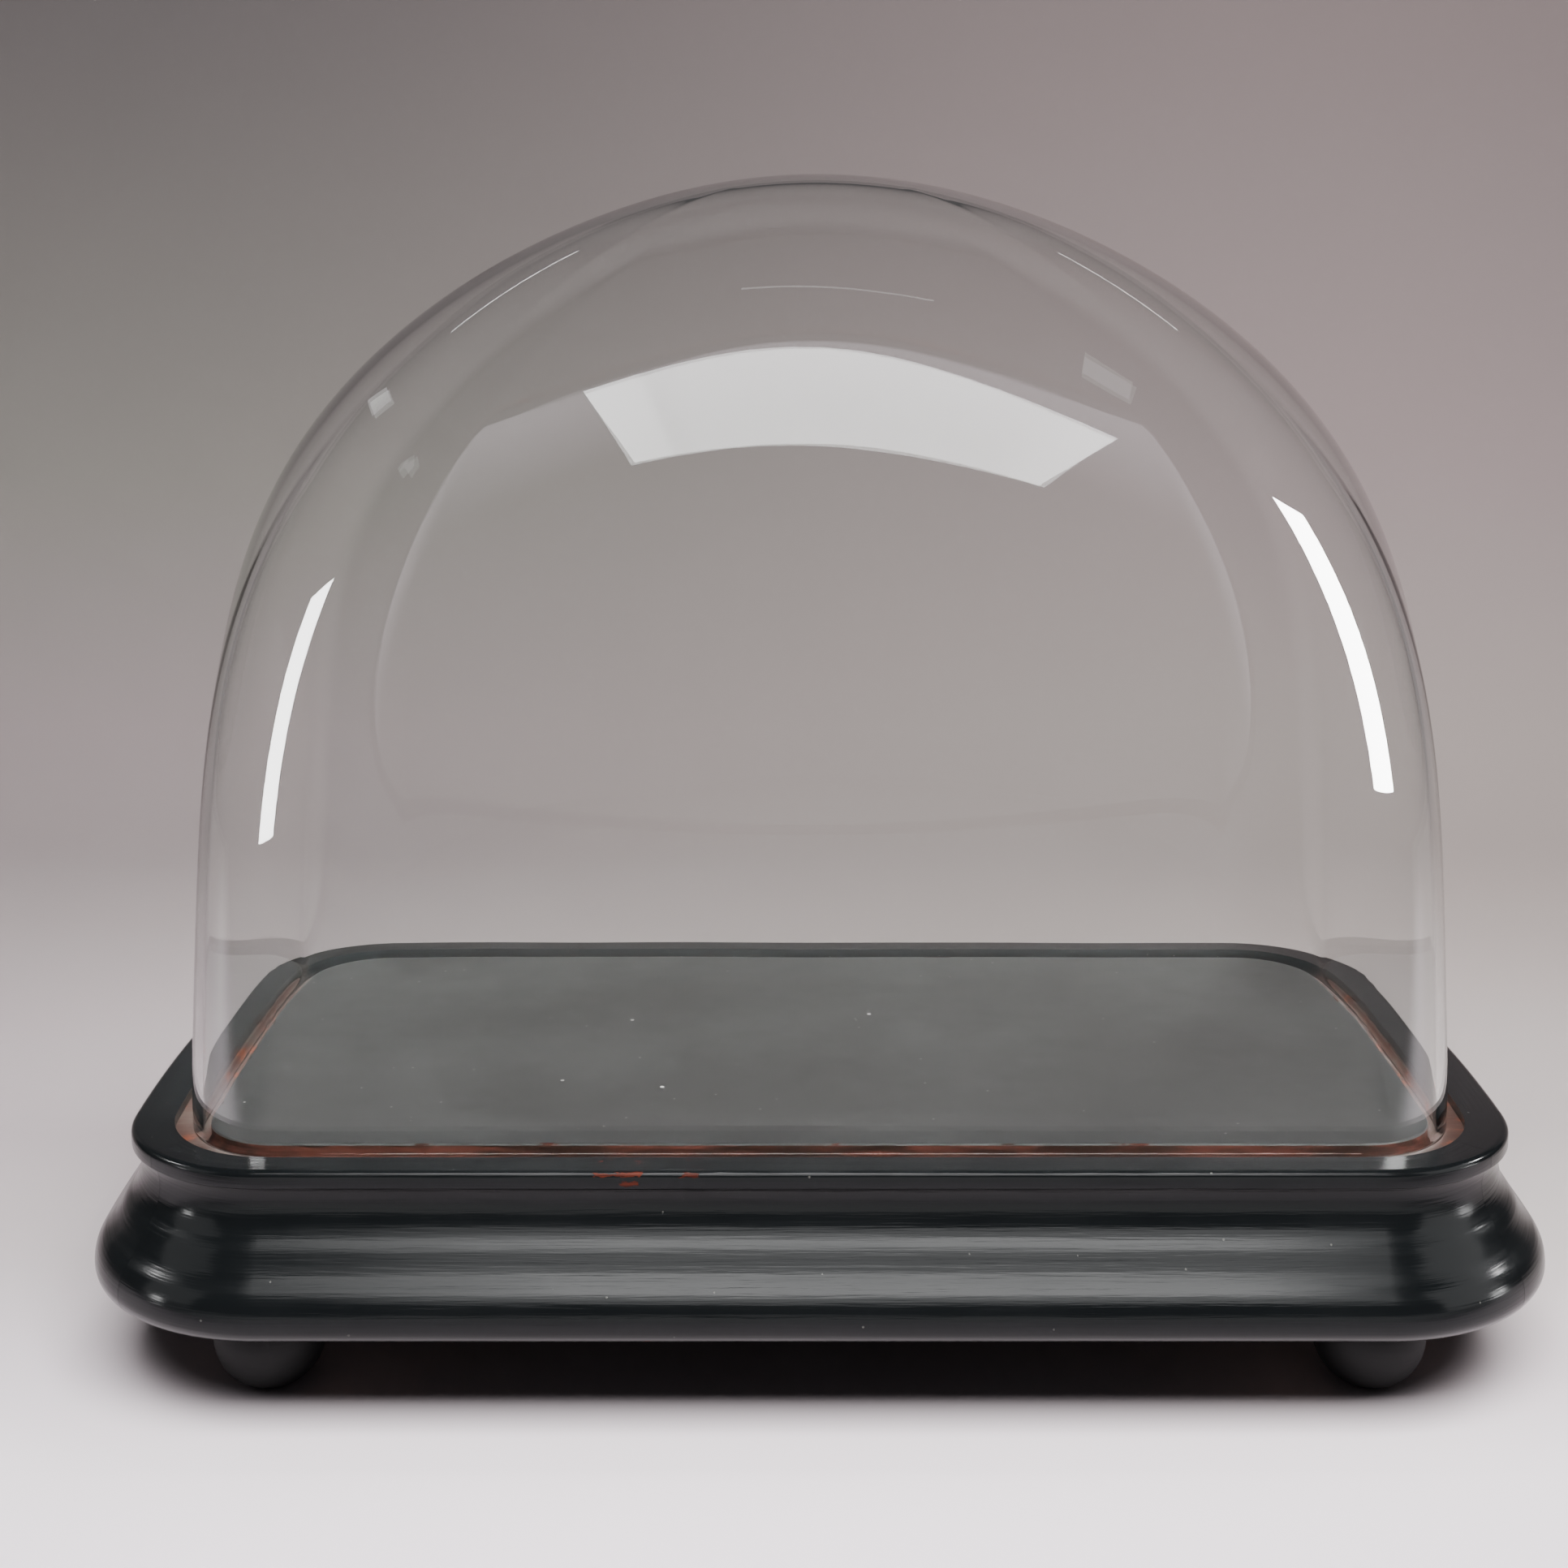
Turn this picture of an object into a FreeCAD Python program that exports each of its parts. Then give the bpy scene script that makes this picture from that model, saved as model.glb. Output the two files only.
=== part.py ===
import FreeCAD, Part
import math
import os

import Sketcher

# An oblong glass dome on an ebonised moulded base with four ball feet.
# The frame: the floor is z = 0, the origin is the middle of the footprint,
# +X is along the length, -Y is the front and +Z is up.

SIZES = {
    # Base moulding: its height, and the outline of its rim (the top outer edge).
    "foot_height": 31.8,
    "moulding_height": 48.2,
    "rim_half_width": 214.0,
    "rim_half_depth": 112.2,
    "rim_corner_radius": 49.1,
    "rim_end_radius": 808.0,
    # Moulding section, measured down from the rim and out from its outline.
    "nose_radius": 2.0,
    "fascia_height": 5.4,
    "neck_depth": 10.5,
    "neck_inset": 2.5,
    "neck_radius": 11.7,
    "bullnose_radius": 7.0,
    "bullnose_reach": 12.2,
    "rail_stock": 24.0,
    "mitre_reach": 80.0,
    # Well inside the rim: the baseboard lies in it, and the groove runs round it.
    "well_half_width": 201.0,
    "well_half_depth": 101.7,
    "well_corner_radius": 37.0,
    "groove_width": 10.8,
    "groove_depth": 3.0,
    "baseboard_thickness": 18.0,
    # Ball feet and the glue blocks they are dowelled into.
    "foot_across": 168.0,
    "foot_along": 81.5,
    "foot_radius": 17.0,
    "foot_centre_height": 16.0,
    "spigot_radius": 4.5,
    "spigot_length": 24.0,
    "block_half_length": 27.0,
    "block_half_depth": 20.2,
    "block_corner_radius": 34.0,
    # Countersunk screws through the glue blocks into the baseboard.
    "screw_spacing": 18.0,
    "screw_length": 36.0,
    "screw_shank_radius": 1.75,
    "screw_hole_radius": 2.0,
    "screw_head_radius": 3.6,
    # Glass dome: the outside of its foot lies this far in from the wall of the groove.
    "glass_inset": 5.4,
    "glass_wall": 3.0,
    "glass_height": 291.3,
}

# Front and side profiles of the dome, each as the coefficients of s, s ** 2 and so on in
# width = sqrt((1 - s) * (1 + ...)), where s runs from 0 at the foot to 1 at the crown.
# A first coefficient of 1 makes the wall stand upright at the foot.
FRONT_PROFILE = (1.0, -0.21, 6.23, -5.2)
SIDE_PROFILE = (1.0, 1.0, 1.0)
# The squarish plan of the foot turns into an ellipse at the crown at this power of s.
PLAN_FADE = 2.0
GLASS_SECTIONS = 14
GLASS_SECTION_POINTS = 96

# Heights that several pieces share, as expressions of the sheet's cells.
RIM_TOP = "(Sizes.foot_height + Sizes.moulding_height)"
GROOVE_FLOOR = f"({RIM_TOP} - Sizes.groove_depth)"
BOARD_FOOT = f"({GROOVE_FLOOR} - Sizes.baseboard_thickness)"

# The side of the base that each corner is on, along X and along Y.
CORNERS = {
    "front_left": (-1, -1),
    "front_right": (1, -1),
    "back_left": (-1, 1),
    "back_right": (1, 1),
}
# Points nearer than this are the same point.
TOUCHING = 0.05
# How a sketch numbers its own origin point and its two axes.
ORIGIN = (-1, 1)
X_AXIS = -1
Y_AXIS = -2
RIGHT_ANGLE = math.pi / 2


def make_sheet(doc):
    """The spreadsheet of driving dimensions, one alias to a row."""
    sheet = doc.addObject("Spreadsheet::Sheet", "Sizes")
    for row, (alias, value) in enumerate(SIZES.items(), start=1):
        sheet.set(f"A{row}", alias)
        sheet.set(f"B{row}", str(value))
        sheet.setAlias(f"B{row}", alias)
    doc.recompute()
    return sheet


def cell(alias):
    return f"Sizes.{alias}"


def make_body(doc, name):
    body = doc.addObject("PartDesign::Body", name)
    body.Label = name
    return body


def lift(piece, height):
    """Bind how high a sub-part stands above the floor."""
    piece.setExpression("Placement.Base.z", height)


def origin_plane(body, role):
    return next(item for item in body.Origin.OriginFeatures if item.Role == role)


def add_sketch(body, name, role):
    """A sketch on one of the body's own origin planes."""
    sketch = body.newObject("Sketcher::SketchObject", name)
    sketch.AttachmentSupport = (origin_plane(body, role), [""])
    sketch.MapMode = "FlatFace"
    return sketch


def bind(sketch, constraint, expression):
    """Add a dimension and drive it by an expression of the sheet's cells."""
    index = sketch.addConstraint(constraint)
    sketch.setExpression(f"Constraints[{index}]", expression)


def pin(sketch, geometry, place, across, along):
    """Fix a point of the sketch by its two coordinates, or on an axis where one is "0"."""
    point = sketch.getPoint(geometry, place)
    directions = (("DistanceX", point.x, across, Y_AXIS), ("DistanceY", point.y, along, X_AXIS))
    for kind, value, expression, axis in directions:
        if expression == "0":
            sketch.addConstraint(Sketcher.Constraint("PointOnObject", geometry, place, axis))
        else:
            bind(sketch, Sketcher.Constraint(kind, *ORIGIN, geometry, place, value), expression)


def line(start, end):
    return Part.LineSegment(FreeCAD.Vector(*start, 0), FreeCAD.Vector(*end, 0))


def arc(centre, radius, start, end):
    """An arc from one angle, anticlockwise, to another, in radians."""
    circle = Part.Circle(FreeCAD.Vector(*centre, 0), FreeCAD.Vector(0, 0, 1), radius)
    return Part.ArcOfCircle(circle, start, end)


def outline_edges(kind, inset):
    """The plan of the base as eight edges, anticlockwise from the front side.

    The long sides are straight, the ends are bowed, and the corners are tangent to both.
    kind names the driving sizes, and inset moves the whole outline in.
    """
    half_depth = SIZES[f"{kind}_half_depth"] - inset
    corner = SIZES[f"{kind}_corner_radius"] - inset
    end = SIZES["rim_end_radius"] - inset
    end_x = SIZES[f"{kind}_half_width"] - SIZES["rim_end_radius"]
    corner_y = half_depth - corner
    corner_x = end_x + math.sqrt((end - corner) ** 2 - corner_y ** 2)
    lean = math.atan2(corner_y, corner_x - end_x)
    return [
        line((-corner_x, -half_depth), (corner_x, -half_depth)),
        arc((corner_x, -corner_y), corner, -RIGHT_ANGLE, -lean),
        arc((end_x, 0), end, -lean, lean),
        arc((corner_x, corner_y), corner, lean, RIGHT_ANGLE),
        line((corner_x, half_depth), (-corner_x, half_depth)),
        arc((-corner_x, corner_y), corner, RIGHT_ANGLE, math.pi - lean),
        arc((-end_x, 0), end, math.pi - lean, math.pi + lean),
        arc((-corner_x, -corner_y), corner, math.pi + lean, 3 * RIGHT_ANGLE),
    ]


def draw_outline(sketch, kind, inset=None):
    """Draw the plan outline and tie it to the sheet; inset names a cell."""
    inward = cell(inset) if inset else "0"
    edges = outline_edges(kind, SIZES[inset] if inset else 0.0)
    loop = [sketch.addGeometry(edge) for edge in edges]
    front, front_right, right_end, back_right, back, back_left, left_end, front_left = loop
    for edge, following in zip(loop, loop[1:] + loop[:1]):
        sketch.addConstraint(Sketcher.Constraint("Tangent", edge, 2, following, 1))
    for other in (back_right, back_left, front_left):
        sketch.addConstraint(Sketcher.Constraint("Equal", front_right, other))
    sketch.addConstraint(Sketcher.Constraint("Equal", right_end, left_end))
    sketch.addConstraint(Sketcher.Constraint("Symmetric", front_right, 3, back_left, 3, *ORIGIN))
    sketch.addConstraint(Sketcher.Constraint("Symmetric", back_right, 3, front_left, 3, *ORIGIN))
    sketch.addConstraint(Sketcher.Constraint("Horizontal", front_right, 3, front_left, 3))
    sketch.addConstraint(Sketcher.Constraint("Vertical", front_right, 3, back_right, 3))
    bind(sketch, Sketcher.Constraint("Radius", front_right, edges[1].Radius),
         f"{cell(kind + '_corner_radius')} - {inward}")
    bind(sketch, Sketcher.Constraint("Radius", right_end, edges[2].Radius),
         f"{cell('rim_end_radius')} - {inward}")
    bind(sketch, Sketcher.Constraint("DistanceX", *ORIGIN, right_end, 3, edges[2].Center.x),
         f"{cell(kind + '_half_width')} - {cell('rim_end_radius')}")
    bind(sketch, Sketcher.Constraint("DistanceY", *ORIGIN, front, 1, edges[0].StartPoint.y),
         f"{inward} - {cell(kind + '_half_depth')}")


def add_pad(body, sketch, name, height):
    """Pad a sketch up by the expression height."""
    pad = body.newObject("PartDesign::Pad", name)
    pad.Profile = sketch
    pad.setExpression("Length", height)
    sketch.Document.recompute()
    return pad


def draw_moulding_section(sketch):
    """The section of a rail: inner face, nose, fascia, ogee and bullnose.

    The sketch's X is the depth, so out is the negative way; its Y is the height.
    """
    rim = -SIZES["rim_half_depth"]
    top = SIZES["moulding_height"]
    inner = rim + SIZES["rail_stock"]
    nose = SIZES["nose_radius"]
    fascia_foot = top - SIZES["fascia_height"]
    neck = SIZES["neck_radius"]
    neck_centre = (rim + SIZES["neck_inset"] - neck, top - SIZES["neck_depth"])
    bullnose = SIZES["bullnose_radius"]
    bullnose_centre = (rim - SIZES["bullnose_reach"] + bullnose, bullnose)
    # The slope of the ogee is the line tangent to the neck and, across it, to the bullnose.
    out = neck_centre[0] - bullnose_centre[0]
    drop = neck_centre[1] - bullnose_centre[1]
    lean = math.atan2(out, drop) + math.asin((neck + bullnose) / math.hypot(out, drop))
    neck_start = math.asin((fascia_foot - neck_centre[1]) / neck)
    step = neck_centre[0] + neck * math.cos(neck_start)
    slope_top = (neck_centre[0] + neck * math.cos(lean), neck_centre[1] - neck * math.sin(lean))
    slope_foot = (
        bullnose_centre[0] - bullnose * math.cos(lean),
        bullnose_centre[1] + bullnose * math.sin(lean),
    )
    inner_face = sketch.addGeometry(line((inner, 0), (inner, top)))
    rim_top = sketch.addGeometry(line((inner, top), (rim + nose, top)))
    nose_arc = sketch.addGeometry(arc((rim + nose, top - nose), nose, RIGHT_ANGLE, math.pi))
    fascia = sketch.addGeometry(line((rim, top - nose), (rim, fascia_foot)))
    ledge = sketch.addGeometry(line((rim, fascia_foot), (step, fascia_foot)))
    neck_arc = sketch.addGeometry(arc(neck_centre, neck, -lean, neck_start))
    slope = sketch.addGeometry(line(slope_top, slope_foot))
    bullnose_arc = sketch.addGeometry(
        arc(bullnose_centre, bullnose, math.pi - lean, 3 * RIGHT_ANGLE))
    underside = sketch.addGeometry(line((bullnose_centre[0], 0), (inner, 0)))
    joints = [
        ("Coincident", inner_face, 2, rim_top, 1),
        ("Tangent", rim_top, 2, nose_arc, 1),
        ("Tangent", nose_arc, 2, fascia, 1),
        ("Coincident", fascia, 2, ledge, 1),
        ("Coincident", ledge, 2, neck_arc, 2),
        ("Tangent", neck_arc, 1, slope, 1),
        ("Tangent", slope, 2, bullnose_arc, 1),
        ("Tangent", bullnose_arc, 2, underside, 1),
        ("Coincident", underside, 2, inner_face, 1),
        ("Vertical", inner_face),
        ("Horizontal", rim_top),
        ("Vertical", fascia),
        ("Horizontal", ledge),
        ("Horizontal", underside),
    ]
    for joint in joints:
        sketch.addConstraint(Sketcher.Constraint(*joint))
    for edge, radius in ((nose_arc, "nose"), (neck_arc, "neck"), (bullnose_arc, "bullnose")):
        value = SIZES[f"{radius}_radius"]
        bind(sketch, Sketcher.Constraint("Radius", edge, value), cell(f"{radius}_radius"))
    pin(sketch, inner_face, 2, f"{cell('rail_stock')} - {cell('rim_half_depth')}",
        cell("moulding_height"))
    pin(sketch, fascia, 2, f"-{cell('rim_half_depth')}",
        f"{cell('moulding_height')} - {cell('fascia_height')}")
    pin(sketch, neck_arc, 3,
        f"{cell('neck_inset')} - {cell('neck_radius')} - {cell('rim_half_depth')}",
        f"{cell('moulding_height')} - {cell('neck_depth')}")
    bind(sketch, Sketcher.Constraint("DistanceX", *ORIGIN, bullnose_arc, 3, bullnose_centre[0]),
         f"{cell('bullnose_radius')} - {cell('bullnose_reach')} - {cell('rim_half_depth')}")
    sketch.addConstraint(Sketcher.Constraint("PointOnObject", underside, 2, X_AXIS))


def make_moulding(doc):
    """The moulding as one ring round the base, with the well cut out of it."""
    body = make_body(doc, "moulding_ring")
    path = add_sketch(body, "rim_outline", "XY_Plane")
    draw_outline(path, "rim")
    section = add_sketch(body, "moulding_section", "YZ_Plane")
    draw_moulding_section(section)
    doc.recompute()
    ring = body.newObject("PartDesign::AdditivePipe", "moulding_run")
    ring.Profile = section
    ring.Spine = (path, [])
    doc.recompute()
    well = add_sketch(body, "well_outline", "XY_Plane")
    draw_outline(well, "well")
    cut = body.newObject("PartDesign::Pocket", "well")
    cut.Profile = well
    cut.Reversed = True
    cut.setExpression("Length", cell("moulding_height"))
    lift(body, cell("foot_height"))
    doc.recompute()
    return body


def make_rails(doc, ring):
    """Saw the moulding into four rails, mitred at 45 degrees through the corner arcs."""
    corner_y = f"({cell('rim_half_depth')} - {cell('rim_corner_radius')})"
    end_run = f"({cell('rim_end_radius')} - {cell('rim_corner_radius')})"
    corner_x = (f"({cell('rim_half_width')} - {cell('rim_end_radius')}"
                f" + sqrt({end_run}^2 - {corner_y}^2))")
    sides = {
        "front": (0, corner_x, corner_y),
        "right": (90, corner_y, corner_x),
        "back": (180, corner_x, corner_y),
        "left": (270, corner_y, corner_x),
    }
    rails = []
    for side, (turn, half_run, distance) in sides.items():
        wedge = doc.addObject("Part::Wedge", f"mitre_{side}")
        reach = cell("mitre_reach")
        spans = {
            "Xmin": f"-({half_run} + {reach})",
            "Xmax": f"{half_run} + {reach}",
            "X2min": f"-{half_run}",
            "X2max": half_run,
            "Ymin": f"-({distance} + {reach})",
            "Ymax": f"-{distance}",
            "Zmin": "0",
            "Z2min": "0",
            "Zmax": RIM_TOP,
            "Z2max": RIM_TOP,
        }
        for span, expression in spans.items():
            wedge.setExpression(span, expression)
        wedge.Placement.Rotation = FreeCAD.Rotation(FreeCAD.Vector(0, 0, 1), turn)
        rail = doc.addObject("Part::Common", f"rail_{side}")
        rail.Label = f"rail_{side}"
        rail.Base = ring
        rail.Tool = wedge
        rails.append(rail)
    doc.recompute()
    return rails


def screw_places(side_x, side_y):
    """The two screws of a corner: each side of the foot, along the base."""
    across = f"{side_x} * {cell('foot_across')}"
    along = f"{side_y} * {cell('foot_along')}"
    return [(f"{across} {sign} {cell('screw_spacing')}", along) for sign in "-+"]


def add_holes(sketch, places, radius):
    """Circles of one radius, each centred where a pair of expressions says."""
    for across, along in places:
        centre = [sketch.evalExpression(place) for place in (across, along)]
        value = sketch.evalExpression(radius)
        circle = Part.Circle(FreeCAD.Vector(*centre, 0), FreeCAD.Vector(0, 0, 1), value)
        edge = sketch.addGeometry(circle)
        pin(sketch, edge, 3, across, along)
        bind(sketch, Sketcher.Constraint("Radius", edge, value), radius)


def make_baseboard(doc):
    """The bare board inside the rails: its top is the floor of the groove."""
    body = make_body(doc, "baseboard")
    outline = add_sketch(body, "board_outline", "XY_Plane")
    draw_outline(outline, "well")
    add_pad(body, outline, "board", cell("baseboard_thickness"))
    pilots = add_sketch(body, "pilot_centres", "XY_Plane")
    places = [place for sides in CORNERS.values() for place in screw_places(*sides)]
    add_holes(pilots, places, cell("screw_shank_radius"))
    pilot = body.newObject("PartDesign::Pocket", "pilot_holes")
    pilot.Profile = pilots
    pilot.Reversed = True
    pilot.setExpression("Length", f"{cell('foot_height')} + {cell('screw_length')} - ({BOARD_FOOT})")
    lift(body, BOARD_FOOT)
    return body


def make_platform(doc):
    """The thin board inside the groove, level with the rim, that carries the display."""
    body = make_body(doc, "platform")
    outline = add_sketch(body, "platform_outline", "XY_Plane")
    draw_outline(outline, "well", "groove_width")
    add_pad(body, outline, "panel", cell("groove_depth"))
    lift(body, GROOVE_FLOOR)
    return body


def edge_names(shape, wanted):
    """The names of a shape's edges that pass a test."""
    return [f"Edge{index}" for index, edge in enumerate(shape.Edges, start=1) if wanted(edge)]


def make_block(doc, corner, sides):
    """A glue block in a corner under the baseboard, bored for a foot and two screws."""
    body = make_body(doc, f"block_{corner}")
    sketch = add_sketch(body, f"block_plan_{corner}", "XY_Plane")
    half_length = SIZES["block_half_length"]
    half_depth = SIZES["block_half_depth"]
    turns = [(-1, -1), (1, -1), (1, 1), (-1, 1)]
    points = [(half_length * x, half_depth * y) for x, y in turns]
    edges = [sketch.addGeometry(line(start, end))
             for start, end in zip(points, points[1:] + points[:1])]
    for edge, following in zip(edges, edges[1:] + edges[:1]):
        sketch.addConstraint(Sketcher.Constraint("Coincident", edge, 2, following, 1))
    for edge, (x, y) in zip(edges, turns):
        pin(sketch, edge, 1, f"{x} * {cell('block_half_length')}", f"{y} * {cell('block_half_depth')}")
    add_holes(sketch, [("0", "0")], cell("spigot_radius"))
    screws = [(f"{sign}{cell('screw_spacing')}", "0") for sign in "-+"]
    add_holes(sketch, screws, cell("screw_hole_radius"))
    pad = add_pad(body, sketch, f"blank_{corner}", f"{BOARD_FOOT} - {cell('foot_height')}")
    outer = FreeCAD.Vector(sides[0] * half_length, sides[1] * half_depth, 0)
    upright = edge_names(pad.Shape, lambda edge: all(
        math.hypot(point.x - outer.x, point.y - outer.y) < TOUCHING
        for point in (edge.Vertexes[0].Point, edge.Vertexes[-1].Point)))
    fillet = body.newObject("PartDesign::Fillet", f"rounded_corner_{corner}")
    fillet.Base = (pad, upright)
    fillet.setExpression("Radius", cell("block_corner_radius"))
    doc.recompute()
    rims = edge_names(fillet.Shape, lambda edge: isinstance(edge.Curve, Part.Circle)
                      and abs(edge.Curve.Radius - SIZES["screw_hole_radius"]) < TOUCHING
                      and edge.BoundBox.ZMax < TOUCHING)
    sink = body.newObject("PartDesign::Chamfer", f"countersinks_{corner}")
    sink.Base = (fillet, rims)
    sink.setExpression("Size", f"{cell('screw_head_radius')} - {cell('screw_hole_radius')}")
    body.setExpression("Placement.Base.x", f"{sides[0]} * {cell('foot_across')}")
    body.setExpression("Placement.Base.y", f"{sides[1]} * {cell('foot_along')}")
    lift(body, cell("foot_height"))
    return body


def make_foot(doc, corner, sides):
    """A turned ball foot, flat where it stands, with a spigot that goes up into its block."""
    body = make_body(doc, f"foot_{corner}")
    sketch = add_sketch(body, f"foot_profile_{corner}", "XZ_Plane")
    ball = SIZES["foot_radius"]
    centre = SIZES["foot_centre_height"]
    height = SIZES["foot_height"]
    spigot = SIZES["spigot_radius"]
    tip = height + SIZES["spigot_length"]
    low = math.asin(centre / ball)
    high = math.asin((height - centre) / ball)
    ball_arc = sketch.addGeometry(arc((0, centre), ball, -low, high))
    shoulder = sketch.addGeometry(line((ball * math.cos(high), height), (spigot, height)))
    shank = sketch.addGeometry(line((spigot, height), (spigot, tip)))
    end = sketch.addGeometry(line((spigot, tip), (0, tip)))
    axis = sketch.addGeometry(line((0, tip), (0, 0)))
    sole = sketch.addGeometry(line((0, 0), (ball * math.cos(low), 0)))
    loop = [(shoulder, 1), (shank, 1), (end, 1), (axis, 1), (sole, 1)]
    sketch.addConstraint(Sketcher.Constraint("Coincident", ball_arc, 2, shoulder, 1))
    for (edge, _), (following, start) in zip(loop, loop[1:]):
        sketch.addConstraint(Sketcher.Constraint("Coincident", edge, 2, following, start))
    sketch.addConstraint(Sketcher.Constraint("Coincident", sole, 2, ball_arc, 1))
    sketch.addConstraint(Sketcher.Constraint("Horizontal", shoulder))
    sketch.addConstraint(Sketcher.Constraint("Vertical", shank))
    sketch.addConstraint(Sketcher.Constraint("Horizontal", sole))
    pin(sketch, ball_arc, 3, "0", cell("foot_centre_height"))
    pin(sketch, shank, 1, cell("spigot_radius"), cell("foot_height"))
    pin(sketch, end, 2, "0", f"{cell('foot_height')} + {cell('spigot_length')}")
    sketch.addConstraint(Sketcher.Constraint("Horizontal", end))
    sketch.addConstraint(Sketcher.Constraint("Coincident", axis, 2, *ORIGIN))
    bind(sketch, Sketcher.Constraint("Radius", ball_arc, ball), cell("foot_radius"))
    doc.recompute()
    turning = body.newObject("PartDesign::Revolution", f"turning_{corner}")
    turning.Profile = sketch
    turning.ReferenceAxis = (sketch, ["V_Axis"])
    turning.Angle = 360
    body.setExpression("Placement.Base.x", f"{sides[0]} * {cell('foot_across')}")
    body.setExpression("Placement.Base.y", f"{sides[1]} * {cell('foot_along')}")
    return body


def make_screw(doc, name, across, along):
    """A countersunk wood screw, its head flush with the underside of a block."""
    head = doc.addObject("Part::Cone", f"{name}_head")
    head.setExpression("Radius1", cell("screw_head_radius"))
    head.setExpression("Radius2", cell("screw_shank_radius"))
    head.setExpression("Height", f"{cell('screw_head_radius')} - {cell('screw_shank_radius')}")
    shank = doc.addObject("Part::Cylinder", f"{name}_shank")
    shank.setExpression("Radius", cell("screw_shank_radius"))
    shank.setExpression("Height", cell("screw_length"))
    screw = doc.addObject("Part::Fuse", name)
    screw.Base = head
    screw.Tool = shank
    screw.setExpression("Placement.Base.x", across)
    screw.setExpression("Placement.Base.y", along)
    lift(screw, cell("foot_height"))
    return screw


def make_block_screws(doc):
    """The eight identical screws as one group of separate solids."""
    places = [place for sides in CORNERS.values() for place in screw_places(*sides)]
    screws = [make_screw(doc, f"screw_{number}", *place)
              for number, place in enumerate(places, start=1)]
    group = doc.addObject("Part::Compound", "block_screws")
    group.Label = "block_screws"
    group.Links = screws
    return group


def dome_width(share, profile):
    """How wide the dome is at a share of its height, as a share of its width at the foot."""
    swell = sum(factor * share ** power for power, factor in enumerate(profile, start=1))
    return math.sqrt((1 - share) * (1 + swell))


def dome_solid(inset, height):
    """A solid dome whose foot is the well's outline moved in by inset, standing at z = 0."""
    foot = Part.Wire([edge.toShape() for edge in outline_edges("well", inset)])
    points = foot.discretize(GLASS_SECTION_POINTS + 1)[:-1]
    half_width = SIZES["well_half_width"] - inset
    half_depth = SIZES["well_half_depth"] - inset
    sections = []
    for step in range(GLASS_SECTIONS):
        share = math.sin(RIGHT_ANGLE * step / GLASS_SECTIONS)
        front = dome_width(share, FRONT_PROFILE)
        side = dome_width(share, SIDE_PROFILE)
        squareness = 1 - share ** PLAN_FADE
        ring = []
        for point in points:
            across = point.x / half_width
            along = point.y / half_depth
            reach = math.hypot(across, along)
            pull = (1 + (reach - 1) * squareness) / reach
            ring.append(FreeCAD.Vector(
                point.x * front * pull, point.y * side * pull, height * share))
        curve = Part.BSplineCurve()
        curve.interpolate(Points=ring, PeriodicFlag=True)
        sections.append(Part.Wire(curve.toShape()))
    crown = Part.Vertex(0, 0, height)
    return Part.makeLoft([*sections, crown], True, False)


def make_glass_dome(doc):
    """The blown dome: an even wall, open at the foot, standing in the groove."""
    wall = SIZES["glass_wall"]
    inset = SIZES["glass_inset"]
    height = SIZES["glass_height"]
    outside = dome_solid(inset, height)
    inside = dome_solid(inset + wall, height - wall)
    dome = doc.addObject("Part::Feature", "glass_dome")
    dome.Label = "glass_dome"
    dome.Shape = outside.cut(inside)
    lift(dome, GROOVE_FLOOR)
    return dome


def check(doc, pieces):
    """Stop on any object that failed, and on any sub-part that isn't a sound solid."""
    for item in doc.Objects:
        if {"Invalid", "Error"} & set(item.State):
            raise RuntimeError(f"{item.Label} failed: {item.State}")
    for piece in pieces:
        if piece.Shape.isNull() or not piece.Shape.isValid() or not piece.Shape.Solids:
            raise RuntimeError(f"{piece.Label} has no sound solid")


def main():
    doc = FreeCAD.newDocument("glass_dome_on_base")
    make_sheet(doc)
    pieces = make_rails(doc, make_moulding(doc))
    pieces += [make_baseboard(doc), make_platform(doc)]
    for corner, sides in CORNERS.items():
        pieces += [make_block(doc, corner, sides), make_foot(doc, corner, sides)]
    pieces += [make_block_screws(doc), make_glass_dome(doc)]
    doc.recompute()
    check(doc, pieces)
    os.makedirs("parts", exist_ok=True)
    for piece in pieces:
        piece.Shape.exportStep(f"parts/{piece.Label}.step")
        size = piece.Shape.BoundBox
        print(f"{piece.Label}: {size.XLength:.1f} x {size.YLength:.1f} x {size.ZLength:.1f} mm,"
              f" {piece.Shape.Volume / 1000:.1f} cm3")


main()
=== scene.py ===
import math

import bmesh
import bpy
import numpy as np
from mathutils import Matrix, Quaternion, Vector, noise


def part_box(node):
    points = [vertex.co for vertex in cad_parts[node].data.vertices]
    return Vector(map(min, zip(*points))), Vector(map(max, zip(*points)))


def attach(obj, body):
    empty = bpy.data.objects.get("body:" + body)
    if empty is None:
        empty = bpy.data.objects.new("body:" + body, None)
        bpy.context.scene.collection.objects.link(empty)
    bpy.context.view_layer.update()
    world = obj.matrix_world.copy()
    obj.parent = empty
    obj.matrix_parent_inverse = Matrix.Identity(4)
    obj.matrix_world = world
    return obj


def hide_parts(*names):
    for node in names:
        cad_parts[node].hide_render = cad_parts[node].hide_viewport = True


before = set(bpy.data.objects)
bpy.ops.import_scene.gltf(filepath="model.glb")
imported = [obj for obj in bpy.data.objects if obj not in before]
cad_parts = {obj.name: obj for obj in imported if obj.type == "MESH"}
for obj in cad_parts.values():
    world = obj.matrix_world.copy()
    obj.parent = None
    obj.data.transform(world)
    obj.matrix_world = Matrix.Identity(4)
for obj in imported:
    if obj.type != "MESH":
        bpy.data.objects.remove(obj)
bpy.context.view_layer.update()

MM = 0.001
RIGHT_ANGLE = math.pi / 2

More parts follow.
